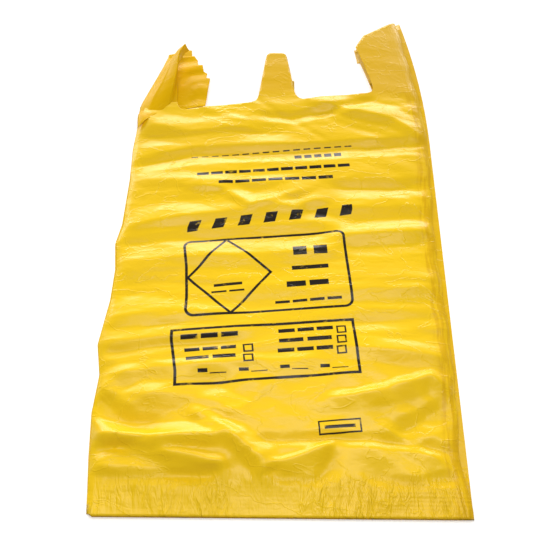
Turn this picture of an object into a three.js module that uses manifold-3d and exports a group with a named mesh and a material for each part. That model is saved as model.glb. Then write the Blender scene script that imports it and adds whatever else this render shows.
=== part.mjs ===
// A vest-style carrier sack of thin yellow plastic film for clinical waste, lying empty on its back.
// It is one length of blown tube: both sides are tucked in as gussets, the lower end is welded shut in a
// hem, and one punch through all the layers leaves two handles, a mouth and a middle hanging tab.
// The right handle lies straight. The left one has been opened: its front leaves stand up as a flap,
// and its back leaves fan out to the right of it.
// Millimetres. X runs across the bag, Y from the hem to the handles, Z up from the surface it lies on.
import * as THREE from 'three';
import { mergeVertices } from 'three/addons/utils/BufferGeometryUtils.js';
import Module from 'manifold-3d';

// The flat bag as it is made
const frontWidth = 380;
const gussetDepth = 100;
const bagLength = 700;
const hemLength = 33;
const mouthFromTip = 154; // at the middle of the bag
const mouthRise = 24; // how much further up the mouth's cut lies at the right than at the left
const handleWidth = 65;
const handleEndDrop = 33; // how far the slanted handle end falls from its outer tip to its chamfer
const chamferWidth = 17;
const chamferDrop = 23;
const tabLength = 82;
const tabFootWidth = 52;
const tabTopWidth = 27;
const tabCentre = -5;
const cornerRadius = 14; // at the feet of the handles and of the tab
const weldWidth = 8; // the weld across a handle top and the tab top

// One layer of film and the air between two layers. The real film is about 0.08 mm thick.
const film = 0.7;
const layerGap = 0.6;

// How the empty bag lies: trapped air, a leaning handle and a wandering left edge
const pillowHeight = 7;
const pillowFade = 60; // distance over which the film rises from the hem
const handleBendRadius = 1100; // the right handle bends in along an arc
const handleBendLength = 226; // of that arc, down from the tip
const leftEdge = [[0, 0], [60, -5], [190, -9], [270, -1.5], [320, -4.5], [420, 4.5], [550, 7.5]];
// The main folds pressed into the front. A point is its share of the half width and of the way to the mouth.
const folds = [
  { line: [[-0.99, 0.982], [-0.63, 0.901], [-0.21, 0.916]], height: 3.6, spread: 21 },
  { line: [[0.21, 0.998], [0.59, 0.954], [0.94, 0.897]], height: 4.6, spread: 18 },
  { line: [[-0.98, 0.76], [-0.21, 0.744]], height: 3, spread: 16 },
  { line: [[-1, 0.636], [-0.32, 0.67], [0.05, 0.67]], height: 3.2, spread: 18 },
  { line: [[0.32, 0.604], [0.99, 0.625]], height: 2.6, spread: 14 },
  { line: [[-1, 0.544], [0, 0.56], [0.37, 0.571]], height: 2.6, spread: 15 },
  { line: [[0.16, 0.462], [0.99, 0.48]], height: 2.4, spread: 19 },
  { line: [[-1, 0.352], [-0.11, 0.374]], height: 2.6, spread: 14 },
  { line: [[0.37, 0.337], [0.97, 0.311]], height: 3.2, spread: 15 },
  { line: [[-1, 0.275], [-0.16, 0.304], [0.21, 0.311]], height: 2.6, spread: 14 },
  { line: [[0.27, 0.223], [0.86, 0.273], [0.96, 0.245]], height: 4.6, spread: 15 },
  { line: [[-1, 0.154], [-0.25, 0.148], [-0.06, 0.077]], height: 6, spread: 15 },
];

const halfWidth = frontWidth / 2;
const mouthY = bagLength - mouthFromTip;
const layerPitch = film + layerGap;
const sideHeight = 4 * film + 3 * layerGap;
const stationStep = 12;
const frontSteps = 20;
const cutDepth = 60; // taller than anything that is cut

const wasm = await Module();
wasm.setup();

// A closed solid from a list of corner points and triangles.
function solidFromTriangles(corners, triangles) {
  return new wasm.Manifold(new wasm.Mesh({
    numProp: 3,
    vertProperties: new Float32Array(corners.flat()),
    triVerts: new Uint32Array(triangles),
  }));
}

// A closed solid from a three.js geometry.
function solidFromGeometry(geometry) {
  const bare = geometry.clone();
  bare.deleteAttribute('normal');
  bare.deleteAttribute('uv');
  const merged = mergeVertices(bare, 1e-4);
  return new wasm.Manifold(new wasm.Mesh({
    numProp: 3,
    vertProperties: merged.attributes.position.array,
    triVerts: new Uint32Array(merged.index.array),
  }));
}

// The geometry of a solid, each corner first moved by the function given.
function geometryOf(solid, move = (point) => point) {
  const { vertProperties, triVerts } = solid.getMesh();
  const geometry = new THREE.BufferGeometry();
  const positions = new THREE.Float32BufferAttribute(Array.from(vertProperties), 3);
  const point = new THREE.Vector3();
  for (let i = 0; i < positions.count; i++) {
    point.fromBufferAttribute(positions, i);
    move(point);
    positions.setXYZ(i, point.x, point.y, point.z);
  }
  geometry.setAttribute('position', positions);
  geometry.setIndex(Array.from(triVerts));
  return geometry;
}

// How much the folds lift the front at one place.
function foldLift(x, y) {
  const place = new THREE.Vector3(x, y, 0);
  const nearest = new THREE.Vector3();
  let lift = 0;
  for (const { line, height, spread } of folds) {
    const points = line.map(([across, up]) => new THREE.Vector3(across * halfWidth, up * mouthY, 0));
    const distances = points.slice(1).map((point, i) => {
      new THREE.Line3(points[i], point).closestPointToPoint(place, true, nearest);
      return nearest.distanceTo(place);
    });
    lift += height * Math.max(1 - Math.min(...distances) / spread, 0);
  }
  return lift;
}

// The height of the front layer's top over the surface that the bag lies on.
function frontHeight(x, y) {
  const across = 1 - (x / halfWidth) ** 4;
  const risen = THREE.MathUtils.smoothstep(y, hemLength, hemLength + pillowFade);
  const folded = THREE.MathUtils.smoothstep(y, hemLength, hemLength + pillowFade / 3);
  return sideHeight + pillowHeight * across * risen + foldLift(x, y) * (0.45 + 0.55 * across) * folded;
}

// The closed outer and inner lines of the gusseted tube's section at one place along the bag.
function tubeSection(y) {
  const tuck = halfWidth - gussetDepth;
  const inside = halfWidth - film;
  const lowerTop = film + layerPitch;
  const upperUnder = 2 * layerPitch;
  const outer = [[-halfWidth, 0], [halfWidth, 0]];
  outer.push([halfWidth, lowerTop], [tuck, lowerTop], [tuck, upperUnder], [halfWidth, upperUnder]);
  const inner = [[-inside, film], [inside, film]];
  inner.push([inside, layerPitch], [tuck - film, layerPitch], [tuck - film, upperUnder + film]);
  inner.push([inside, upperUnder + film]);
  for (let i = 0; i <= frontSteps; i++) {
    const share = 1 - (2 * i) / frontSteps;
    outer.push([halfWidth * share, frontHeight(halfWidth * share, y)]);
    inner.push([inside * share, frontHeight(halfWidth * share, y) - film]);
  }
  outer.push([-halfWidth, upperUnder], [-tuck, upperUnder], [-tuck, lowerTop], [-halfWidth, lowerTop]);
  inner.push([-inside, upperUnder + film], [film - tuck, upperUnder + film]);
  inner.push([film - tuck, layerPitch], [-inside, layerPitch]);
  return { outer, inner };
}

// The blown and gusseted tube, open at both ends.
function gussetedTube(start, end) {
  const corners = [];
  const triangles = [];
  const stations = Math.ceil((end - start) / stationStep);
  let count = 0;
  for (let s = 0; s <= stations; s++) {
    const y = start + ((end - start) * s) / stations;
    const { outer, inner } = tubeSection(y);
    count = outer.length;
    for (const [x, z] of [...outer, ...inner]) corners.push([x, y, z]);
  }
  const quad = (a, b, c, d) => triangles.push(a, b, c, a, c, d);
  for (let i = 0; i < count; i++) {
    const next = (i + 1) % count;
    for (let s = 0; s < stations; s++) {
      const here = 2 * count * s;
      const there = here + 2 * count;
      quad(here + i, there + i, there + next, here + next);
      quad(here + count + i, here + count + next, there + count + next, there + count + i);
    }
    const last = 2 * count * stations;
    quad(i, next, count + next, count + i);
    quad(last + i, last + count + i, last + count + next, last + next);
  }
  return solidFromTriangles(corners, triangles);
}

// A flat plate with the outline given, from one height to another.
function plate(shape, bottom, top, curveSegments = 4) {
  const depth = top - bottom;
  const geometry = new THREE.ExtrudeGeometry(shape, { depth, bevelEnabled: false, curveSegments });
  return solidFromGeometry(geometry.translate(0, 0, bottom));
}

// Where the mouth's slanted cut runs.
function mouthLine(x) {
  return mouthY + (mouthRise * x) / (frontWidth - 2 * handleWidth);
}

// What the punch leaves of the flat tube. The left handle is cut off here just above its foot,
// and its opened leaves are added in its place.
function punchedOutline() {
  const handleInside = halfWidth - handleWidth;
  const tabRight = tabCentre + tabFootWidth / 2;
  const tabLeft = tabCentre - tabFootWidth / 2;
  const tabTop = mouthLine(tabCentre) + tabLength;
  const stubTop = mouthLine(-handleInside) + cornerRadius;
  const outline = new THREE.Shape();
  outline.moveTo(-halfWidth, 0);
  outline.lineTo(halfWidth, 0);
  outline.lineTo(halfWidth, bagLength);
  outline.lineTo(handleInside + chamferWidth, bagLength - handleEndDrop);
  outline.lineTo(handleInside, bagLength - handleEndDrop - chamferDrop);
  outline.lineTo(handleInside, mouthLine(handleInside) + cornerRadius);
  const rightCorner = mouthLine(handleInside);
  outline.quadraticCurveTo(handleInside, rightCorner, handleInside - cornerRadius, rightCorner);
  outline.lineTo(tabRight + cornerRadius, mouthLine(tabRight));
  outline.quadraticCurveTo(tabRight, mouthLine(tabRight), tabRight, mouthLine(tabRight) + cornerRadius);
  outline.lineTo(tabCentre + tabTopWidth / 2, tabTop);
  outline.lineTo(tabCentre - tabTopWidth / 2, tabTop);
  outline.lineTo(tabLeft, mouthLine(tabLeft) + cornerRadius);
  outline.quadraticCurveTo(tabLeft, mouthLine(tabLeft), tabLeft - cornerRadius, mouthLine(tabLeft));
  outline.lineTo(cornerRadius - handleInside, mouthLine(-handleInside));
  outline.quadraticCurveTo(-handleInside, mouthLine(-handleInside), -handleInside, stubTop);
  outline.lineTo(-halfWidth, stubTop);
  return outline;
}

// The band where all the layers are welded into one at the lower end.
function hem() {
  const reach = 2; // into the tube
  return plate(rectangle(-halfWidth, 0, halfWidth, hemLength + reach), 0, sideHeight);
}

function rectangle(left, low, right, high) {
  return new THREE.Shape([
    new THREE.Vector2(left, low),
    new THREE.Vector2(right, low),
    new THREE.Vector2(right, high),
    new THREE.Vector2(left, high),
  ]);
}

// The welds that join the layers across the tops of the right handle and of the tab.
function topWelds() {
  const top = sideHeight + pillowHeight;
  const tabTop = mouthLine(tabCentre) + tabLength;
  const chamferX = halfWidth - handleWidth + chamferWidth;
  const chamferY = bagLength - handleEndDrop;
  const handle = new THREE.Shape([
    new THREE.Vector2(halfWidth - handleWidth, chamferY - chamferDrop - weldWidth),
    new THREE.Vector2(chamferX, chamferY - weldWidth),
    new THREE.Vector2(halfWidth, bagLength - weldWidth),
    new THREE.Vector2(halfWidth, bagLength),
    new THREE.Vector2(halfWidth - handleWidth, bagLength),
  ]);
  const handleWeld = plate(handle, 0, sideHeight);
  const halfTab = tabFootWidth / 2;
  const tabEnd = rectangle(tabCentre - halfTab, tabTop - weldWidth, tabCentre + halfTab, tabTop);
  const tabWeld = plate(tabEnd, 0, top - film);
  return handleWeld.add(tabWeld);
}

// Lays the flat bag down as it is found: the right handle bends in, the left edge wanders.
function layDown(point) {
  const wander = new THREE.SplineCurve(leftEdge.map(([y, shift]) => new THREE.Vector2(y, shift)));
  const share = THREE.MathUtils.clamp(-point.x / halfWidth, 0, 1);
  point.x += share * wander.getPoint(splineShare(wander, point.y)).y;
  const along = Math.max(point.y - (bagLength - handleBendLength), 0);
  const held = THREE.MathUtils.smoothstep(point.x, halfWidth - 2 * handleWidth, halfWidth - handleWidth);
  point.x -= (held * along ** 2) / (2 * handleBendRadius);
  return point;
}

// The share along the spline at which its first coordinate reaches the value given.
function splineShare(spline, value) {
  let low = 0;
  let high = 1;
  for (let i = 0; i < 24; i++) {
    const middle = (low + high) / 2;
    if (spline.getPoint(middle).x < value) low = middle;
    else high = middle;
  }
  return low;
}

// A sheet of one thickness ruled between two edges with the same number of points.
function ruledSheet(edgeA, edgeB, steps, thickness) {
  const corners = [];
  const rows = edgeA.length;
  for (const lift of [0, thickness]) {
    for (let r = 0; r < rows; r++) {
      for (let s = 0; s <= steps; s++) {
        const [x, y, z] = edgeA[r].map((a, k) => a + ((edgeB[r][k] - a) * s) / steps);
        corners.push([x, y, z + lift]);
      }
    }
  }
  const index = (layer, r, s) => (layer * rows + r) * (steps + 1) + s;
  const triangles = [];
  const quad = (a, b, c, d) => triangles.push(a, b, c, a, c, d);
  for (let r = 0; r + 1 < rows; r++) {
    for (let s = 0; s < steps; s++) {
      quad(index(1, r, s), index(1, r, s + 1), index(1, r + 1, s + 1), index(1, r + 1, s));
      quad(index(0, r, s), index(0, r + 1, s), index(0, r + 1, s + 1), index(0, r, s + 1));
    }
    quad(index(0, r, 0), index(1, r, 0), index(1, r + 1, 0), index(0, r + 1, 0));
    quad(index(0, r, steps), index(0, r + 1, steps), index(1, r + 1, steps), index(1, r, steps));
  }
  for (let s = 0; s < steps; s++) {
    quad(index(0, 0, s), index(0, 0, s + 1), index(1, 0, s + 1), index(1, 0, s));
    const r = rows - 1;
    quad(index(0, r, s), index(1, r, s), index(1, r, s + 1), index(0, r, s + 1));
  }
  const sheet = solidFromTriangles(corners, triangles);
  return sheet.volume() > 0 ? sheet : solidFromTriangles(corners, triangles.reverse());
}

// The front leaves of the left handle: a flap that leans right, with its inner edge standing up off the bag.
// Each edge runs from the foot to the peak: distance from the left fold, distance past the mouth, height.
function standingFlap() {
  const outer = [[3, -30, 4], [9, 14, 4.5], [16, 35, 4.6], [25, 58, 6], [33, 79, 7.5], [38.5, 95.5, 9]];
  const inner = [[46, -20, 7], [47, 13, 10], [50.5, 34, 16], [53.5, 54, 21], [56.5, 78, 26], [64.5, 96, 34]];
  const place = ([across, past, z]) => [across - halfWidth, mouthLine(-halfWidth) + past, z];
  return ruledSheet(outer.map(place), inner.map(place), 3, film + layerPitch);
}

// The back leaves of the left handle: two sheets that fan out to the right, the upper one cut a step
// shorter, with their ends curling up.
function fannedLeaves() {
  const across = [10, 26, 42, 54, 62, 70, 78, 86, 95];
  const curl = [0, 0, 0, 0.5, 1.5, 3, 5, 7, 9];
  const cuts = [
    [17, 57, 92, 110, 116, 103, 91, 77, 54],
    [17, 52, 84, 100, 106, 95, 84, 72, 52],
  ];
  const foot = (x) => (x < 55 ? -10 : 13);
  return cuts.map((cut, k) => {
    const foldFoot = mouthLine(-halfWidth);
    const place = (past) => (x, i) => [x - halfWidth, foldFoot + past(x, i), k * layerPitch + curl[i]];
    return ruledSheet(across.map(place(foot)), across.map(place((x, i) => cut[i])), 2, film);
  });
}

const tubeOverlap = 1;
const flatBag = gussetedTube(hemLength - tubeOverlap, bagLength + stationStep)
  .add(hem())
  .add(topWelds())
  .intersect(plate(punchedOutline(), -1, cutDepth));
let bag = solidFromGeometry(geometryOf(flatBag, layDown));
for (const leaf of [standingFlap(), ...fannedLeaves()]) bag = bag.add(leaf);

const bagGeometry = geometryOf(bag);
bagGeometry.computeBoundingBox();
const { min, max } = bagGeometry.boundingBox;
bagGeometry.translate(-(min.x + max.x) / 2, -(min.y + max.y) / 2, -min.z);

const filmMaterial = new THREE.MeshStandardMaterial({ color: 0xf2c417, roughness: 0.35, metalness: 0 });
const bagFilm = new THREE.Mesh(bagGeometry, filmMaterial);
bagFilm.name = 'bag_film';

const wasteBag = new THREE.Group();
wasteBag.add(bagFilm);

export default wasteBag;
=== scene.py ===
# A vest-style carrier sack of thin yellow film for clinical waste, lying empty with its printed front up.
# The script follows the bag as it is made: the blown tube, its gussets, its weld and punch, then the
# opened left handle, the print and the film's finish. Names that end in _mm are in millimetres, and so
# are places on the film (x and y) and its height over the ground. Everything else is in metres.
import math
import random

import bmesh
import bpy
import numpy as np
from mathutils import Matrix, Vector


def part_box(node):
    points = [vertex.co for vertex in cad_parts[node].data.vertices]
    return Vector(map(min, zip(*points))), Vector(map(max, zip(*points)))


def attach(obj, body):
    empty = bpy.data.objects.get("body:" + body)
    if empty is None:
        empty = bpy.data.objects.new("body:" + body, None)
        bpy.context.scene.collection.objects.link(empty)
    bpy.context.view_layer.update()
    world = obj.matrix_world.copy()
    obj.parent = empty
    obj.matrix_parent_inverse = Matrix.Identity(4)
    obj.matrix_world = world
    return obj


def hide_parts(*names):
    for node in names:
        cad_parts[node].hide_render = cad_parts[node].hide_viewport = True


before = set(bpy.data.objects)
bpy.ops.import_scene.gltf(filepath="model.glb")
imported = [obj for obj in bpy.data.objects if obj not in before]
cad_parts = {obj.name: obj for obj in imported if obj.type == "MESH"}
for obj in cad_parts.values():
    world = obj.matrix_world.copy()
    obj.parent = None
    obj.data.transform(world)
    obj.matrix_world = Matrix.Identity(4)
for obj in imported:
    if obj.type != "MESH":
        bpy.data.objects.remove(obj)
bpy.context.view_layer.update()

# Camera
# The photograph looks down on the bag from its hem end, about 58 degrees above the surface that it lies on.
# The lens follows from how much the far end of the bag narrows.
low_corner, high_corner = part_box("bag_film")
bag_end_y = low_corner[1]
camera_distance_y = 0.2683
camera_height = 0.8601
camera_tilt = math.radians(32.29)
lens_mm = 56.99
sensor_mm = 36
fold_mm = 190.0
bag_middle_x = high_corner[0] - fold_mm / 1000

camera_data = bpy.data.cameras.new("photo_camera")
camera_data.lens = lens_mm
camera_data.sensor_width = sensor_mm
camera = bpy.data.objects.new("photo_camera", camera_data)
camera.location = (bag_middle_x, bag_end_y - camera_distance_y, camera_height)
camera.rotation_euler = (camera_tilt, 0, 0)
bpy.context.scene.collection.objects.link(camera)
bpy.context.scene.camera = camera


# The gusseted tube
# One length of blown film, laid flat with both sides tucked in, so six layers lie over each other at the
# sides and two in the middle. It was welded across the hem end and punched through all its layers.
length_mm = 700.0
hem_mm = 33.0
gusset_mm = 100.0
handle_mm = 65.0
mouth_mm = 544.5
mouth_rise_mm = 28.0
tab_middle_mm = -5.0
tab_foot_mm = 52.0
tab_top_mm = 27.0
tab_length_mm = 88.0
corner_mm = 14.0
end_drop_mm = 33.0
chamfer_mm = (17.0, 23.0)
handle_lean_mm = 10.0
slid_mm = 11.0
handle_inside_mm = fold_mm - handle_mm
clear_mm = 9.0


def mouth_line(x):
    """How far from the hem the mouth's slanting cut lies."""
    return mouth_mm + mouth_rise_mm * x / (2 * handle_inside_mm)


def rounded(corner, before, after, steps=5):
    """Points of a curve that rounds a corner off between two points beside it."""
    points = []
    for k in range(steps + 1):
        t = k / steps
        points.append(tuple((1 - t) ** 2 * a + 2 * t * (1 - t) * c + t * t * b
                            for a, c, b in zip(before, corner, after)))
    return points


def punched_outline():
    """The outline that the punch leaves, without the left handle's leaves."""
    inside = handle_inside_mm
    tab_right = tab_middle_mm + tab_foot_mm / 2
    tab_left = tab_middle_mm - tab_foot_mm / 2
    tab_top = mouth_line(tab_middle_mm) + tab_length_mm
    # The hem's left corner is a little rounded. Along the folds the outline runs clear of the film.
    outline = [(-fold_mm - clear_mm, 8), (-fold_mm + 0.3, 7), (-fold_mm + 1.5, 2.6), (-fold_mm + 6, -0.5)]
    outline += [(-fold_mm + 6, -clear_mm), (fold_mm + clear_mm, -clear_mm)]
    outline += [(fold_mm + clear_mm, length_mm + 4)]
    outline += [(inside + chamfer_mm[0] - handle_lean_mm, length_mm - end_drop_mm)]
    outline += [(inside - handle_lean_mm, length_mm - end_drop_mm - chamfer_mm[1])]
    foot = mouth_line(inside)
    outline += rounded((inside + 3, foot), (inside + 1.5, foot + corner_mm), (inside - corner_mm, foot))
    foot = mouth_line(tab_right)
    outline += rounded((tab_right, foot), (tab_right + corner_mm, foot), (tab_right - 2, foot + corner_mm))
    outline += rounded((tab_middle_mm + tab_top_mm / 2, tab_top),
                       (tab_middle_mm + tab_top_mm / 2 + 1, tab_top - 8),
                       (tab_middle_mm + tab_top_mm / 2 - 7, tab_top), 3)
    outline += rounded((tab_middle_mm - tab_top_mm / 2, tab_top),
                       (tab_middle_mm - tab_top_mm / 2 + 7, tab_top),
                       (tab_middle_mm - tab_top_mm / 2 - 1, tab_top - 8), 3)
    foot = mouth_line(tab_left)
    outline += rounded((tab_left, foot), (tab_left + 2, foot + corner_mm), (tab_left - corner_mm, foot))
    foot = mouth_line(-inside - slid_mm)
    outline += rounded((-inside - slid_mm, foot), (-inside - slid_mm + 8, foot + 0.9),
                       (-inside - slid_mm - 3, foot + corner_mm))
    outline += [(-fold_mm - clear_mm, foot + corner_mm)]
    return outline


def inside_outline(outline, x, y):
    """Whether a point lies inside a closed outline."""
    inside = False
    for (ax, ay), (bx, by) in zip(outline, outline[1:] + outline[:1]):
        if (ay > y) != (by > y) and x < ax + (y - ay) * (bx - ax) / (by - ay):
            inside = not inside
    return inside


def punch(bm, outline, reach=5.0):
    """Cuts flat film along an outline and takes away what lies outside it."""
    for (ax, ay), (bx, by) in zip(outline, outline[1:] + outline[:1]):
        start, end = Vector((ax, ay, 0)), Vector((bx, by, 0))
        along = (end - start).normalized()
        across = Vector((-along.y, along.x, 0))
        span = (end - start).length
        near = []
        for face in bm.faces:
            way = face.calc_center_median()
            way.z = 0
            way -= start
            if abs(way.dot(across)) < reach and -reach < way.dot(along) < span + reach:
                near.append(face)
        if near:
            edges = {e for f in near for e in f.edges}
            verts = {v for f in near for v in f.verts}
            bmesh.ops.bisect_plane(bm, geom=near + list(edges) + list(verts), dist=1e-3,
                                   plane_co=start, plane_no=across)
    gone = [f for f in bm.faces
            if not inside_outline(outline, *f.calc_center_median()[:2])]
    bmesh.ops.delete(bm, geom=gone, context="FACES")


def film_layer(bm, left, right, columns, rows, number):
    """One flat layer of the tube, from the hem's end to the handle tips, marked by its number in Z."""
    for vert in bmesh.ops.create_grid(bm, x_segments=columns, y_segments=rows, size=0.5)["verts"]:
        vert.co.x = left + (right - left) * (vert.co.x + 0.5)
        vert.co.y = length_mm * (vert.co.y + 0.5)
        vert.co.z = number


# How the empty film lies
# Thin film keeps every fold that it has been pressed into: long level ridges and valleys from one side
# fold to the other, a few sharp slanting ones near the hem, and flat facets in between.
# Each fold: its points, its height (negative for a valley), and its reach towards the hem and the mouth.
main_folds = [
    ([(-186, 440), (-108, 455), (25, 460), (186, 474)], -4.6, 16, 12),
    ([(-186, 415), (-79, 413), (-40, 406), (20, 412)], 2.6, 18, 12),
    ([(-190, 347), (-119, 358), (-60, 366), (10, 366)], 3.2, 13, 22),
    ([(-194, 319), (-109, 327), (-20, 330), (60, 338)], -3.0, 12, 14),
    ([(-194, 297), (-107, 300), (0, 306), (70, 312)], 2.4, 16, 12),
    ([(40, 545), (80, 531), (113, 521), (145, 513), (178, 490)], 4.6, 12, 24),
    ([(60, 402), (110, 401), (188, 407)], -3.4, 16, 14),
    ([(20, 372), (91, 354), (188, 362)], -3.2, 14, 16),
    ([(60, 330), (110, 334), (188, 341)], 2.4, 7, 14),
    ([(74, 315), (130, 318), (188, 325)], -2.6, 14, 9),
    ([(30, 252), (110, 258), (188, 262)], 2.2, 20, 18),
    ([(78, 214), (130, 217), (186, 222)], -2.0, 12, 16),
    ([(70, 184), (130, 178), (184, 170)], 3.2, 15, 15),
    ([(52, 122), (96, 129), (137, 141), (163, 149), (182, 134)], 4.6, 18, 9),
    ([(116, 82), (145, 97), (180, 114)], -3.4, 18, 14),
    ([(-14, 76), (58, 79), (112, 76), (184, 67)], -2.6, 7, 9),
    ([(-8, 52), (26, 62), (58, 77)], 3.0, 14, 5),
    ([(58, 77), (50, 52), (36, 32)], -2.8, 14, 10),
    ([(-14, 50), (0, 36), (34, 30)], -2.4, 8, 12),
    ([(88, 40), (107, 30), (150, 31), (182, 40)], -2.4, 5, 12),
    ([(-196, 192), (-150, 194), (-100, 198), (-20, 204)], 2.6, 10, 14),
    ([(-196, 176), (-112, 186), (-40, 192)], -1.8, 8, 8),
    ([(-196, 150), (-107, 160), (-30, 166), (40, 170)], 2.6, 16, 9),
    ([(-194, 131), (-116, 127), (-60, 116), (-20, 96)], 2.6, 15, 17),
    ([(-192, 50), (-130, 48), (-70, 51), (-44, 60)], 3.2, 9, 36),
    ([(-196, 124), (-172, 108), (-150, 92), (-120, 88)], -4.0, 14, 18),
    ([(-192, 84), (-120, 79), (-48, 81)], 6.0, 11, 17),
    ([(-49, 82), (-40, 74), (-21, 58), (-12, 42)], 6.0, 14, 18),
    ([(-90, 108), (-62, 94), (-43, 80)], 3.6, 10, 9),
    ([(-194, 62), (-160, 72), (-130, 78)], -2.2, 8, 8),
    ([(-164, 70), (-130, 55), (-108, 45), (-64, 38)], -3.4, 20, 13),
    ([(-120, 66), (-82, 59), (-58, 52), (-52, 38)], 3.0, 9, 7),
    ([(-188, 536), (-170, 506), (-120, 492), (-40, 500)], 3.6, 20, 22),
    ([(-184, 486), (-130, 484), (-60, 492), (20, 488)], -2.6, 14, 18),
    ([(-30, 520), (20, 516), (62, 528), (122, 545)], -3.0, 11, 9),
    ([(-116, 404), (-72, 400), (-35, 373), (-12, 382), (34, 399)], 3.2, 8, 16),
    ([(-20, 376), (20, 372), (52, 386)], 2.2, 10, 12),
    ([(-100, 236), (-30, 232), (60, 240), (180, 240)], -1.6, 18, 18),
    ([(-190, 262), (-130, 268), (-60, 262)], -1.8, 16, 18),
    ([(-190, 222), (-120, 230), (-50, 226)], 1.8, 14, 18),
]
main_fold_lift = 1.2
crest_round_mm = 0.7
fading_share = 0.16


def fold_profile(x, y, points, height, below, above):
    """The lift that one fold gives at each place: a sharp crest that slopes off to both sides."""
    best = np.full(x.shape, 1e9)
    signed = np.zeros(x.shape)
    share = np.zeros(x.shape)
    lengths = [math.dist(a, b) for a, b in zip(points, points[1:])]
    total = sum(lengths)
    run = 0.0
    for (ax, ay), (bx, by), span in zip(points, points[1:], lengths):
        ux, uy = (bx - ax) / span, (by - ay) / span
        t = np.clip((x - ax) * ux + (y - ay) * uy, 0, span)
        dx, dy = x - ax - t * ux, y - ay - t * uy
        off = np.hypot(dx, dy)
        side = np.where(ux * dy - uy * dx >= 0, 1.0, -1.0) * (1 if ux >= 0 else -1)
        closer = off < best
        best = np.where(closer, off, best)
        signed = np.where(closer, side, signed)
        share = np.where(closer, (run + t) / total, share)
        run += span
    width = np.where(signed > 0, above, below)
    crest = np.sqrt(best ** 2 + crest_round_mm ** 2) - crest_round_mm
    slope = np.clip(1 - crest / width, 0, 1)
    ends = np.clip(np.minimum(share, 1 - share) / fading_share, 0.0, 1)
    return height * slope * (0.35 + 0.65 * np.sin(ends * math.pi / 2))


def small_folds(seed):
    """Many short sharp folds, level in the upper part of the bag and slanting more towards the hem."""
    draw = random.Random(seed)
    folds = []
    for _ in range(46):
        x = draw.uniform(-185, 185)
        y = draw.uniform(30, 560)
        lean = draw.gauss(0.07, 0.10 if y > 150 else 0.5)
        if y > 480:
            lean = draw.gauss(-0.1, 0.35)
        half = draw.uniform(18, 75) if y > 150 else draw.uniform(12, 40)
        bow = draw.gauss(0, 3)
        points = [(x - half, y - half * lean), (x, y + bow), (x + half, y + half * lean)]
        height = draw.choice((-1, 1)) * draw.uniform(0.3, 1.1)
        folds.append((points, height, draw.uniform(4, 11), draw.uniform(4, 11)))
    return folds


def smooth_step(value, start, end):
    """Rises smoothly from 0 at the start to 1 at the end."""
    t = np.clip((value - start) / (end - start), 0, 1)
    return t * t * (3 - 2 * t)


def zigzag(x, y, pitch, lean, height, seed):
    """Flat facets between sharp parallel folds that wander, and fade in and out over the film."""
    draw = random.Random(seed)
    wander = np.zeros(x.shape)
    patches = np.zeros(x.shape)
    for _ in range(4):
        wander += draw.uniform(0.1, 0.35) * np.sin(x * draw.uniform(-0.03, 0.03)
                                                   + y * draw.uniform(-0.02, 0.02) + draw.uniform(0, 6))
        patches += np.sin(x * draw.uniform(-0.04, 0.04) + y * draw.uniform(-0.03, 0.03) + draw.uniform(0, 6))
    phase = (y - lean * x) / pitch + wander
    share = 0.5 + 0.5 * np.tanh(patches * 0.9)
    return height * share * (2 * np.abs(2 * (phase - np.floor(phase)) - 1) - 1)


side_height_mm = 4.2
pillow_mm = 6.2
pillow_fade_mm = 45.0
ruffle_mm = 0.45
lowest_front_mm = 1.9


def front_height(x, y):
    """How high the front layer lies over the surface under the bag."""
    across = 1 - np.abs(x / fold_mm) ** 4
    risen = smooth_step(y, 4, hem_mm + pillow_fade_mm)
    height = side_height_mm + pillow_mm * across * risen
    folds = np.zeros(x.shape)
    for points, lift, below, above in main_folds:
        folds += fold_profile(x, y, points, main_fold_lift * lift, below, above)
    for fold in small_folds(7):
        folds += fold_profile(x, y, *fold)
    folds += zigzag(x, y, 46, 0.05, 0.9, 3) + zigzag(x, y, 27, -0.16, 0.35, 5)
    near_hem = 1 - smooth_step(y, 120, 200)
    folds += zigzag(x, y, 52, 0.62, 1.6, 8) * near_hem + zigzag(x, y, 43, -0.7, 1.0, 9) * near_hem
    at_hem = smooth_step(y, hem_mm - 8, hem_mm + 10)
    at_side = smooth_step(fold_mm - np.abs(x), 0, 14)
    past_mouth = 1 - 0.75 * smooth_step(y, mouth_mm - 6, mouth_mm + 30)
    deeper = 1 + 0.2 * (1 - smooth_step(y, 110, 200))
    height += folds * at_hem * past_mouth * deeper * (0.25 + 0.75 * at_side)
    ruffle = np.sin(x * 0.9 + 2.2 * np.sin(x * 0.13)) * (0.6 + 0.4 * np.sin(x * 0.31))
    in_hem = smooth_step(y, 0, 8) * (1 - smooth_step(y, hem_mm - 4, hem_mm + 16))
    height += ruffle_mm * ruffle * in_hem
    return np.maximum(height, lowest_front_mm + 1.2 * at_side)


# The left edge's shift at each distance from the hem, positive towards the middle.
left_edge_mm = [(0, 0), (60, -5), (110, -7.5), (154, -4), (191, -10), (248, -2), (289, -0.5), (325, -4),
                (353, 1.5), (421, 4.5), (470, 4), (503, 6.5), (560, 7.5)]
bend_radius_mm = 1100.0
bend_length_mm = 226.0
hem_sag_mm = 1.8
hem_sag_reach_mm = 140


def lay_down(x, y):
    """Shifts of the film as it lies: the right handle bends in, the left edge wanders, the hem sags."""
    ys, shifts = zip(*left_edge_mm)
    wander = np.interp(y, ys, shifts)
    x = x + np.clip(-x / fold_mm, 0, 1) * wander
    y = y - hem_sag_mm * (x / fold_mm + 1) * (1 - smooth_step(y, 0, hem_sag_reach_mm))
    along = np.maximum(y - (length_mm - bend_length_mm), 0)
    held = smooth_step(x, fold_mm - 2 * handle_mm, handle_inside_mm)
    return x - held * along ** 2 / (2 * bend_radius_mm), y


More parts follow.
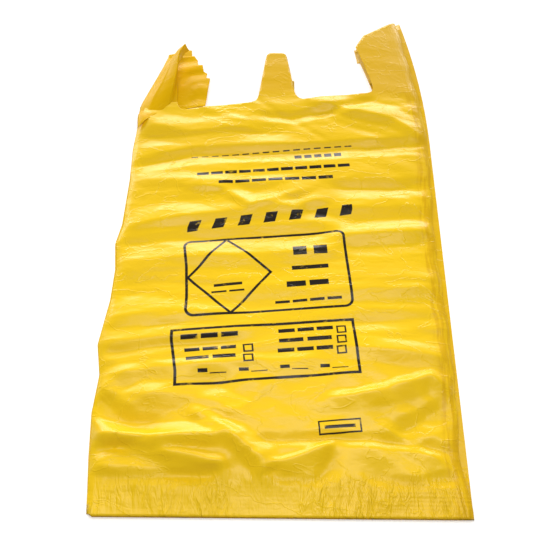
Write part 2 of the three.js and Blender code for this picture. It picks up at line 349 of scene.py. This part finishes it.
def scene_point(x, y, z):
    """A place on the bag in millimetres, as a place in the scene."""
    return Vector((bag_middle_x + x / 1000, bag_end_y + y / 1000, z / 1000))


film_thickness = 0.00018
sharp_fold = 1.0


def film_sheet(name, bm, flat=None):
    """Makes an object of finished film. Its UV map is the place of each point on the flat film."""
    bmesh.ops.recalc_face_normals(bm, faces=bm.faces)
    if flat:
        uv_layer = bm.loops.layers.uv.new("flat_film")
    for edge in bm.edges:
        edge.smooth = len(edge.link_faces) < 2 or edge.calc_face_angle() < sharp_fold
    for face in bm.faces:
        face.smooth = True
        if flat:
            for loop in face.loops:
                loop[uv_layer].uv = flat[loop.vert.index]
    mesh = bpy.data.meshes.new(name)
    bm.to_mesh(mesh)
    bm.free()
    piece = bpy.data.objects.new(name, mesh)
    bpy.context.scene.collection.objects.link(piece)
    wall = piece.modifiers.new("film_thickness", "SOLIDIFY")
    wall.thickness = film_thickness
    wall.offset = 0
    return piece


front_number = 3
upper_leaf = 2
lower_leaf = 1
back_number = 0
tuck_mm = fold_mm - gusset_mm
front_columns = 108
leaf_columns = 5
back_columns = 20
rows = 280
fold_level_mm = 1.7
leaf_level_mm = 1.1

tube = bmesh.new()
film_layer(tube, -fold_mm, fold_mm, front_columns, rows, front_number)
film_layer(tube, -fold_mm, fold_mm, back_columns, rows, back_number)
for side in (-1, 1):
    for number in (lower_leaf, upper_leaf):
        ends = sorted((side * tuck_mm, side * fold_mm))
        film_layer(tube, *ends, leaf_columns, rows, number)
punch(tube, punched_outline())

plan = np.array([v.co[:] for v in tube.verts])
plan_x, plan_y, layer = plan[:, 0], plan[:, 1], np.rint(plan[:, 2]).astype(int)
front_z = front_height(plan_x, plan_y)
beside = fold_mm - np.abs(plan_x)
edge_roll = smooth_step(beside, 0, 5)
# Each layer's height. At the side folds the front and the back meet the gusset's leaves.
height = np.where(layer == front_number, fold_level_mm + (front_z - fold_level_mm) * edge_roll, 0.0)
into_tuck = smooth_step(np.abs(plan_x) - tuck_mm, 0, 6)
slack = 0.35 * np.sin(plan_y * 0.06 + plan_x * 0.05)
height = np.where(layer == upper_leaf, leaf_level_mm + (0.6 + 0.2 * slack * edge_roll) * into_tuck, height)
height = np.where(layer == lower_leaf, leaf_level_mm - 0.45 * into_tuck, height)
height = np.where(layer == back_number, 0.15 + 0.5 * (1 - edge_roll), height)
# The front and the upper leaf are drawn in beside the folds, so the lower layers show as a narrow band.
pulled_in = np.where(layer >= upper_leaf, 1.0, 0.0) * np.where(plan_x > 0, 1.0, 0.25)
pulled_in *= (5.5 + 2.2 * np.sin(plan_y * 0.021 + 1) + 0.8 * np.sin(plan_y * 0.11))
pulled_in *= smooth_step(np.abs(plan_x), 120, fold_mm) * smooth_step(plan_y, 8, 60)
laid_x, laid_y = lay_down(plan_x - np.sign(plan_x) * pulled_in, plan_y)

# Each loop keeps its own place on the flat film, so that a side fold can belong to two layers.
film_place = tube.verts.layers.int.new("layer")
for vert, z, number in zip(tube.verts, height, layer):
    vert[film_place] = int(number)
    vert.co.z = z
flat_layer = tube.loops.layers.uv.new("flat_film")
for face in tube.faces:
    number = face.verts[0][film_place]
    for loop in face.loops:
        loop[flat_layer].uv = (loop.vert.co.x / 1000 + 2 * (front_number - number), loop.vert.co.y / 1000)
for vert, x, y in zip(tube.verts, laid_x, laid_y):
    vert.co = scene_point(x, y, vert.co.z)
tube.verts.layers.int.remove(film_place)
bmesh.ops.remove_doubles(tube, verts=tube.verts, dist=0.00004)
bag_body = film_sheet("bag_body", tube)

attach(bag_body, "root")
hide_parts("bag_film")


# The opened left handle
# The handle's front layer stands up as a flap, creased from the side fold up to the end of the mouth, and
# the gusset leaf behind it shows along its right edge. The back leaves have slid out to the right.
def through(points, steps):
    """Points evenly spread along a smooth curve through the points given."""
    points = np.array(points, float)
    knots = np.linspace(0, 1, len(points))
    slopes = np.gradient(points, knots, axis=0)
    out = []
    for t in np.linspace(0, 1, steps):
        k = min(int(t * (len(points) - 1)), len(points) - 2)
        h = knots[k + 1] - knots[k]
        s = (t - knots[k]) / h
        out.append((2 * s ** 3 - 3 * s ** 2 + 1) * points[k] + (s ** 3 - 2 * s ** 2 + s) * h * slopes[k]
                   + (3 * s ** 2 - 2 * s ** 3) * points[k + 1] + (s ** 3 - s ** 2) * h * slopes[k + 1])
    return out


flap_length_mm = 120
air_mm = 0.5


def ruled_film(bm, edge_a, edge_b, across, shape, number):
    """A leaf of film between two long edges. Returns the place of each of its points on the flat film."""
    made = bmesh.ops.create_grid(bm, x_segments=across, y_segments=len(edge_a) - 1, size=0.5)["verts"]
    flat = []
    places = []
    for vert in made:
        s, t = vert.co.x + 0.5, vert.co.y + 0.5
        k = round(t * (len(edge_a) - 1))
        places.append(edge_a[k] + (edge_b[k] - edge_a[k]) * s + np.array(shape(s, t)))
        flat.append((s * handle_mm / 1000 + 2 * number, (mouth_mm + flap_length_mm * t) / 1000))
    x, y, z = np.array(places).T
    over_front = front_height(x, y) + air_mm - 1.2 * np.maximum(0, y - mouth_line(x))
    for vert, *place in zip(made, x, y, np.maximum(z, over_front)):
        vert.co = scene_point(*place)
    return flat


def flap_shape(s, t):
    """How far the flap leaves a straight sheet: it bows, has one crease, and dips at its outer corner."""
    dip = math.exp(-((s - 0.27) / 0.16) ** 2) * max(0, (t - 0.8) / 0.2)
    bow = math.sin(math.pi * s) * math.sin(math.pi * t)
    crease = max(0, 1 - abs(s - 0.3 - 0.25 * t) / 0.12) * math.sin(math.pi * t)
    return 1.5 * dip, -5.5 * dip, 1.6 * bow + 1.0 * crease - 2 * dip


# The flap's two long edges and the edge of the leaf behind it, from the foot to the tip.
outer_fold = [(-182, 500, 3.2), (-183, 519, 3.6), (-181, 542, 4), (-174, 562.5, 4.6), (-165, 586, 6),
              (-157, 607, 7.5), (-151.5, 623.5, 9)]
inner_fold = [(-143, 541, 9), (-141.6, 551, 12.5), (-139.3, 562, 16), (-137.5, 573.5, 19), (-135, 591, 23),
              (-133, 614, 28), (-125.5, 624.8, 34)]
behind_fold = [(-137, 538.6, 5), (-134.5, 553, 4.5), (-135, 569, 7), (-135.7, 581, 11), (-134.8, 602, 17),
               (-128, 619, 20), (-121.2, 624.6, 22)]
flap = bmesh.new()
edges = [through(points, 48) for points in (outer_fold, inner_fold, behind_fold)]
flap_flat = ruled_film(flap, edges[0], edges[1], 22, flap_shape, 5)
flap_flat += ruled_film(flap, edges[1], edges[2], 8,
                        lambda s, t: (0, 0, -1.5 * math.sin(math.pi * s)), 6)
flap.verts.index_update()
flap_piece = film_sheet("left_handle_flap", flap, flap_flat)

# The back leaves are cut in steps where the punch went through them folded. The upper one comes last.
fan_outlines = [
    [(-152, 530), (-130, 536.5), (-100, 540), (-96, 584), (-104, 600), (-113, 618), (-118, 630),
     (-119.5, 634), (-120.3, 645), (-124, 646), (-152, 638)],
    [(-152, 528), (-132.7, 536.3), (-123.9, 535.5), (-114, 537.8), (-97.2, 540), (-92.9, 589), (-98.2, 591),
     (-97.2, 599), (-102.2, 603), (-104.2, 614.8), (-110.4, 614.8), (-111.3, 624), (-116.3, 632.7),
     (-136.2, 633.7), (-152, 632)],
]
leaf_folds = [
    ([(-134, 582), (-121, 597), (-96, 600)], -1.6, 12, 7),
    ([(-138, 606), (-106, 612)], 0.9, 7, 9),
    ([(-138, 622), (-112, 624)], -0.8, 8, 8),
    ([(-116, 566), (-106, 572), (-92, 568)], 1.2, 9, 9),
    ([(-120, 548), (-108, 554), (-94, 551)], -0.9, 9, 8),
]
fan_corner_mm = (-152, 526)
fan_size_mm = (62, 122)
fan = bmesh.new()
for number, outline in enumerate(fan_outlines):
    leaf = bmesh.new()
    for vert in bmesh.ops.create_grid(leaf, x_segments=30, y_segments=60, size=0.5)["verts"]:
        vert.co.x = fan_corner_mm[0] + fan_size_mm[0] * (vert.co.x + 0.5)
        vert.co.y = fan_corner_mm[1] + fan_size_mm[1] * (vert.co.y + 0.5)
        vert.co.z = number
    punch(leaf, outline)
    leaf_mesh = bpy.data.meshes.new("leaf")
    leaf.to_mesh(leaf_mesh)
    leaf.free()
    fan.from_mesh(leaf_mesh)
    bpy.data.meshes.remove(leaf_mesh)
leaf_x, leaf_y, leaf_number = np.array([v.co[:] for v in fan.verts]).T
lift = 1.2 + 1.3 * leaf_number + 3.0 * smooth_step(leaf_x, -140, -95)
for fold in leaf_folds:
    lift += fold_profile(leaf_x, leaf_y, *fold)
lift = np.maximum(lift, 0.8 + 1.2 * leaf_number)
fan_flat = [((x + 200) / 1000 + 14 + 2 * n, y / 1000) for x, y, n in zip(leaf_x, leaf_y, leaf_number)]
for vert, *place in zip(fan.verts, leaf_x, leaf_y, lift):
    vert.co = scene_point(*place)
fan.verts.index_update()
fan_piece = film_sheet("left_handle_leaves", fan, fan_flat)

for piece, flat, area in ((flap_piece, (0.065, 0.12), 0.0062), (fan_piece, (0.12, 0.12), 0.0125)):
    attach(piece, "root")
    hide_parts("bag_film")


# The film's finish and print
# Glossy, slightly cloudy yellow polyethylene with fine stretch marks, printed in one dark ink. The print
# here is plain: frames, a diamond, rules, empty boxes and blocks in place of words.
film_colour = (0.88, 0.565, 0.006, 1)
# Partly painted shade: the deeper colour that the film takes past the mouth and on the layers under the
# front.
deep_and_shaded_colour = (0.72, 0.42, 0.002, 1)
ink_colour = (0.014, 0.009, 0.005, 1)
# Partly painted shade: the colour of the left handle's flap and leaves.
shaded_handle_colour = (0.76, 0.43, 0.001, 1)
crease_depth = 0.0004
crease_line_depth = 0.00019
pinch_depth = 0.0014
small_pinch_depth = 0.0009
pleat_depth = 0.0040
weld_line_depth = 0.00005
weld_line_pitch = 0.0042
edge_streak_depth = 0.0006

film = bpy.data.materials.new("yellow_film")
film.use_nodes = True
nodes = film.node_tree.nodes
links = film.node_tree.links
shader = nodes["Principled BSDF"]


def value_of(source, socket):
    """Connects a node output to a socket, or sets the socket to a plain number."""
    if isinstance(source, (int, float)):
        socket.default_value = source
    else:
        links.new(source, socket)


def maths(operation, *inputs):
    node = nodes.new("ShaderNodeMath")
    node.operation = operation
    for k, source in enumerate(inputs):
        value_of(source, node.inputs[k])
    return node.outputs[0]


def noise_field(vector, scale, detail=3.0, roughness=0.5, distortion=0.0):
    node = nodes.new("ShaderNodeTexNoise")
    node.inputs["Scale"].default_value = scale
    node.inputs["Detail"].default_value = detail
    node.inputs["Roughness"].default_value = roughness
    node.inputs["Distortion"].default_value = distortion
    links.new(vector, node.inputs["Vector"])
    return node.outputs["Fac"]


def mapped(vector, scale=(1, 1, 1), turn=0.0, move=(0, 0, 0)):
    node = nodes.new("ShaderNodeMapping")
    node.inputs["Scale"].default_value = scale
    node.inputs["Rotation"].default_value = (0, 0, turn)
    node.inputs["Location"].default_value = move
    links.new(vector, node.inputs["Vector"])
    return node.outputs["Vector"]


def ramp(source, start, end, low=0.0, high=1.0):
    node = nodes.new("ShaderNodeMapRange")
    node.interpolation_type = "SMOOTHSTEP"
    node.inputs["From Min"].default_value = start
    node.inputs["From Max"].default_value = end
    node.inputs["To Min"].default_value = low
    node.inputs["To Max"].default_value = high
    links.new(source, node.inputs["Value"])
    return node.outputs["Result"]


uv_node = nodes.new("ShaderNodeUVMap")
uv_node.uv_map = "flat_film"
flat_vector = uv_node.outputs["UV"]
separate = nodes.new("ShaderNodeSeparateXYZ")
links.new(flat_vector, separate.inputs[0])
film_u, film_v = separate.outputs["X"], separate.outputs["Y"]

# The print's own axes, in millimetres, from the middle of the large frame.
print_turn = math.radians(4.6)
print_middle_mm = (-14.0, 279.4)
cos_turn, sin_turn = math.cos(print_turn), math.sin(print_turn)
from_x = maths("SUBTRACT", maths("MULTIPLY", film_u, 1000), print_middle_mm[0])
from_y = maths("SUBTRACT", maths("MULTIPLY", film_v, 1000), print_middle_mm[1])
print_p = maths("ADD", maths("MULTIPLY", from_x, cos_turn), maths("MULTIPLY", from_y, sin_turn))
print_q = maths("SUBTRACT", maths("MULTIPLY", from_y, cos_turn), maths("MULTIPLY", from_x, sin_turn))
soft_mm = 0.35


def box_distance(p, q, half_p, half_q, corner=0.0):
    """How far outside a rectangle about the middle a place is, negative inside."""
    over_p = maths("SUBTRACT", maths("ABSOLUTE", p), half_p - corner)
    over_q = maths("SUBTRACT", maths("ABSOLUTE", q), half_q - corner)
    if not corner:
        return maths("MAXIMUM", over_p, over_q)
    far = maths("SQRT", maths("ADD", maths("POWER", maths("MAXIMUM", over_p, 0), 2),
                              maths("POWER", maths("MAXIMUM", over_q, 0), 2)))
    inner = maths("MINIMUM", maths("MAXIMUM", over_p, over_q), 0)
    return maths("SUBTRACT", maths("ADD", far, inner), corner)


def filled(distance):
    return ramp(distance, soft_mm, -soft_mm)


def outlined(distance, line_mm):
    return ramp(maths("ABSOLUTE", distance), line_mm / 2 + soft_mm, line_mm / 2 - soft_mm)


def moved(p_mm, q_mm, shear=0.0):
    p = maths("SUBTRACT", print_p, p_mm)
    q = maths("SUBTRACT", print_q, q_mm)
    if shear:
        q = maths("SUBTRACT", q, maths("MULTIPLY", p, shear))
    return p, q


def block_row(p_mm, q_mm, half_p, half_q, pitch, ink_share, shear=0.0, slant=0.0):
    """A row of plain blocks that stands where a line of words would be."""
    p, q = moved(p_mm, q_mm, shear)
    half_p = pitch * (max(1, round(2 * half_p / pitch)) - 1 + ink_share) / 2
    leaning = maths("SUBTRACT", p, maths("MULTIPLY", q, slant)) if slant else p
    place = maths("DIVIDE", maths("ADD", leaning, half_p), pitch)
    in_block = maths("MULTIPLY", maths("SUBTRACT", maths("FRACT", place), ink_share / 2), pitch)
    off = maths("SUBTRACT", maths("ABSOLUTE", in_block), ink_share * pitch / 2)
    distance = maths("MAXIMUM", off, box_distance(p, q, half_p, half_q))
    return filled(distance)


# The large frame and the diamond in it, the lower frame with its empty boxes, and the small frame.
prints = []
p, q = moved(0, 0)
prints.append(outlined(box_distance(p, q, 92, 51, 9), 3.2))
p, q = moved(-43.5, 0)
diamond = maths("ADD", maths("ABSOLUTE", p), maths("MULTIPLY", maths("ABSOLUTE", q), 0.93))
diamond = maths("DIVIDE", maths("SUBTRACT", diamond, 47), 1.37)
prints.append(outlined(diamond, 3.0))
p, q = moved(-8.1, -101.3)
prints.append(outlined(box_distance(p, q, 97, 32.6), 3.2))
p, q = moved(60.5, -193)
prints.append(outlined(box_distance(p, q, 21.5, 6.6), 1.7))
for p_mm, q_mm in ((-26.7, -95.8), (-27.6, -108), (75, -80.6), (74, -93), (72.6, -105.6)):
    p, q = moved(p_mm, q_mm)
    prints.append(outlined(box_distance(p, q, 4.5, 4.0), 1.9))
# Rows of blocks: middle p, middle q, half width, half height, pitch, ink share, shear, slant
for row in (
    (17, 181.2, 104, 0.75, 13, 0.66, 0.01, 0),
    (75, 169, 29, 3.6, 12.4, 0.74, 0, 0),
    (17, 149.2, 97, 2.5, 17.6, 0.84, 0, 0),
    (19, 132.5, 72, 2.5, 20.6, 0.86, 0, 0),
    (9, 76.5, 104, 6.5, 30.5, 0.46, 0.055, 0.35),
    (51, 25.5, 24, 6.0, 24, 0.66, 0, 0),
    (49, 3.5, 21, 2.8, 42, 1.0, 0, 0),
    (44, -18.5, 26, 3.6, 26, 0.84, 0, 0),
    (43, -40, 39, 1.7, 19.5, 0.84, 0, 0),
    (-45.5, -12.5, 16, 1.9, 32, 1.0, 0, 0),
    (-46, -21.5, 20, 1.2, 20, 0.85, 0, 0),
    (-66, -77.5, 32, 2.4, 21, 0.84, 0, 0),
    (-66, -93, 29, 2.4, 19, 0.84, 0, 0),
    (-66.5, -104, 28.5, 2.4, 28, 0.86, 0, 0),
    (36, -77.6, 32, 2.4, 21, 0.86, 0, 0),
    (34.5, -90, 31.5, 2.4, 31, 0.86, 0, 0),
    (33.5, -101.6, 31.5, 2.4, 21, 0.86, 0, 0),
    (4, -124.8, 86, 0.6, 43, 0.40, -0.03, 0),
    (-12, -121.5, 86, 2.0, 43, 0.24, -0.03, 0),
    (60.5, -193, 16, 1.8, 32, 1.0, 0, 0),
):
    prints.append(block_row(*row))

ink = prints[0]
for mask in prints[1:]:
    ink = maths("MAXIMUM", ink, mask)
wear = ramp(noise_field(flat_vector, 90, 4.0, 0.6), 0.30, 0.42, 0.55, 1.0)
ink = maths("MULTIPLY", ink, wear)

# Fine relief: stretch marks and pinches in the film, fainter past the mouth, streaks beside the right
# fold, and tight pleats and weld lines in the hem.
creases = noise_field(mapped(flat_vector, (1.0, 2.6, 1.0), -0.07), 26, 5.0, 0.55, 0.8)
pleats = noise_field(mapped(flat_vector, (6.0, 1.6, 1.0), 0.10), 24, 3.0, 0.5, 0.9)
hem_zone = ramp(film_v, 0.050, 0.030)
weld_band = maths("MULTIPLY", hem_zone, ramp(film_v, 0.006, 0.010))
weld_lines = maths("SINE", maths("MULTIPLY", film_v, 2 * math.pi / weld_line_pitch))
weld_lines = maths("MULTIPLY", weld_lines, maths("MULTIPLY", weld_band, ramp(film_u, 0.07, 0.13, 0.25, 1.0)))
from_fold = maths("SUBTRACT", fold_mm / 1000, film_u)
right_zone = maths("MULTIPLY", ramp(from_fold, 0.022, 0.008), ramp(from_fold, -0.02, 0.0))
edge_streaks = noise_field(mapped(flat_vector, (12.0, 1.2, 1.0)), 20, 3.0)
pinched = noise_field(mapped(flat_vector, (1, 2.4, 1), -0.05), 9, 2.0)
pinched = maths("ABSOLUTE", maths("SUBTRACT", pinched, 0.5))
small_pinches = noise_field(mapped(flat_vector, (1.0, 1.9, 1.0), -0.1, (0.4, 0.2, 0)), 27, 2.0, 0.5, 0.6)
small_pinches = maths("ABSOLUTE", maths("SUBTRACT", small_pinches, 0.5))
fine = noise_field(mapped(flat_vector, (1.0, 1.7, 1.0), 0.3, (0.7, 0.1, 0)), 16, 3.0, 0.55, 0.4)
crease_lines = ramp(maths("ABSOLUTE", maths("SUBTRACT", fine, 0.5)), 0.016, 0.0)
past_mouth = ramp(film_v, 0.530, 0.585)
relief = maths("MULTIPLY", creases, crease_depth)
relief = maths("ADD", relief, maths("MULTIPLY", crease_lines, crease_line_depth))
relief = maths("ADD", relief, maths("MULTIPLY", pinched, pinch_depth))
relief = maths("ADD", relief, maths("MULTIPLY", small_pinches, small_pinch_depth))
relief = maths("MULTIPLY", relief, maths("SUBTRACT", 1.0, maths("MULTIPLY", past_mouth, 0.55)))
gathered = ramp(noise_field(mapped(flat_vector, (1, 1, 1), 0, (0.2, 0.3, 0)), 13, 2.0), 0.38, 0.62, 0.2, 1.0)
gathered = maths("MULTIPLY", hem_zone, gathered)
relief = maths("ADD", relief, maths("MULTIPLY", maths("MULTIPLY", pleats, gathered), pleat_depth))
relief = maths("ADD", relief, maths("MULTIPLY", weld_lines, weld_line_depth))
side_streaks = maths("MULTIPLY", edge_streaks, right_zone)
relief = maths("ADD", relief, maths("MULTIPLY", side_streaks, edge_streak_depth))
bump = nodes.new("ShaderNodeBump")
bump.inputs["Strength"].default_value = 1.0
bump.inputs["Distance"].default_value = 1.0
links.new(relief, bump.inputs["Height"])
links.new(bump.outputs["Normal"], shader.inputs["Normal"])

# Colour: cloudy patches, and deeper in the hem and at the right fold, where layers lie close. Past the mouth
# and on the layers under the front it deepens too, partly for the stacked film and partly as painted shade.
cloud = noise_field(mapped(flat_vector, (1.0, 2.2, 1.0)), 9, 3.0)
other_layer = ramp(film_u, 0.6, 0.8)
# Painted shade in part: the colour deepens past the mouth and on every layer under the front.
depth = maths("ADD", maths("MULTIPLY", cloud, 0.35), maths("MULTIPLY", past_mouth, 1.1))
depth = maths("ADD", depth, maths("MULTIPLY", other_layer, 0.5))
streaked = ramp(edge_streaks, 0.40, 0.60, 0.2, 1.3)
depth = maths("ADD", depth, maths("MULTIPLY", right_zone, streaked))
depth = maths("ADD", depth, maths("MULTIPLY", hem_zone, ramp(film_u, 0.0, 0.10, 0.0, 0.3)))
mix = nodes.new("ShaderNodeMix")
mix.data_type = "RGBA"
mix.inputs["A"].default_value = film_colour
mix.inputs["B"].default_value = deep_and_shaded_colour
mix.clamp_factor = True
links.new(depth, mix.inputs["Factor"])
printed = nodes.new("ShaderNodeMix")
printed.data_type = "RGBA"
printed.inputs["B"].default_value = ink_colour
links.new(mix.outputs["Result"], printed.inputs["A"])
links.new(ink, printed.inputs["Factor"])
links.new(printed.outputs["Result"], shader.inputs["Base Color"])
links.new(ramp(cloud, 0.3, 0.7, 0.26, 0.36), shader.inputs["Roughness"])
shader.inputs["IOR"].default_value = 1.5
shader.inputs["Specular IOR Level"].default_value = 0.32

# The leaves of the left handle lie in one another, so they shine less. This copy of the film is painted a
# deeper colour there, partly for the stacked film and partly as painted shade on the flap and the leaves
# behind it.
shaded_handle_film = film.copy()
shaded_handle_film.name = "shaded_handle_film"
shaded_handle_film.node_tree.nodes[shader.name].inputs["Specular IOR Level"].default_value = 0.09
shaded_handle_film.node_tree.nodes[mix.name].inputs["B"].default_value = shaded_handle_colour

bag_body.data.materials.append(film)
flap_piece.data.materials.append(shaded_handle_film)
fan_piece.data.materials.append(shaded_handle_film)


# Floor and lights
# A plain pale floor, and soft light from beyond the handles and from above that rakes across the folds.
floor_bm = bmesh.new()
bmesh.ops.create_grid(floor_bm, x_segments=1, y_segments=1, size=4)
floor_mesh = bpy.data.meshes.new("floor")
floor_bm.to_mesh(floor_mesh)
floor_bm.free()
floor = bpy.data.objects.new("floor", floor_mesh)
floor.location.z = -0.0002
bpy.context.scene.collection.objects.link(floor)
paper = bpy.data.materials.new("pale_floor")
paper.use_nodes = True
paper_shader = paper.node_tree.nodes["Principled BSDF"]
paper_shader.inputs["Base Color"].default_value = (0.9, 0.9, 0.9, 1)
paper_shader.inputs["Roughness"].default_value = 0.9
paper_shader.inputs["Emission Color"].default_value = (1, 1, 1, 1)
paper_shader.inputs["Emission Strength"].default_value = 0.25
floor.data.materials.append(paper)

world = bpy.data.worlds.new("soft_room")
world.use_nodes = True
background = world.node_tree.nodes["Background"]
background.inputs["Color"].default_value = (1, 1, 1, 1)
background.inputs["Strength"].default_value = 0.22
bpy.context.scene.world = world


def soft_light(name, place, aim, size, power):
    """A large rectangular lamp that faces a point of the scene."""
    lamp_data = bpy.data.lights.new(name, "AREA")
    lamp_data.shape = "RECTANGLE"
    lamp_data.size, lamp_data.size_y = size
    lamp_data.energy = power
    lamp = bpy.data.objects.new(name, lamp_data)
    lamp.location = place
    lamp.rotation_euler = (Vector(aim) - Vector(place)).to_track_quat("-Z", "Y").to_euler()
    bpy.context.scene.collection.objects.link(lamp)
    return lamp


soft_light("back_window", (-0.25, 1.50, 0.45), (0, 0, 0), (3.0, 0.64), 38)
soft_light("overhead", (0.1, -0.5, 2.2), (0, -0.3, 0), (2.0, 1.4), 18).visible_glossy = False
soft_light("hem_light", (0.0, -0.12, 0.62), (0, -0.30, 0), (0.7, 0.22), 2.0)
bpy.context.scene.view_settings.view_transform = "Standard"
bpy.context.scene.view_settings.look = "None"
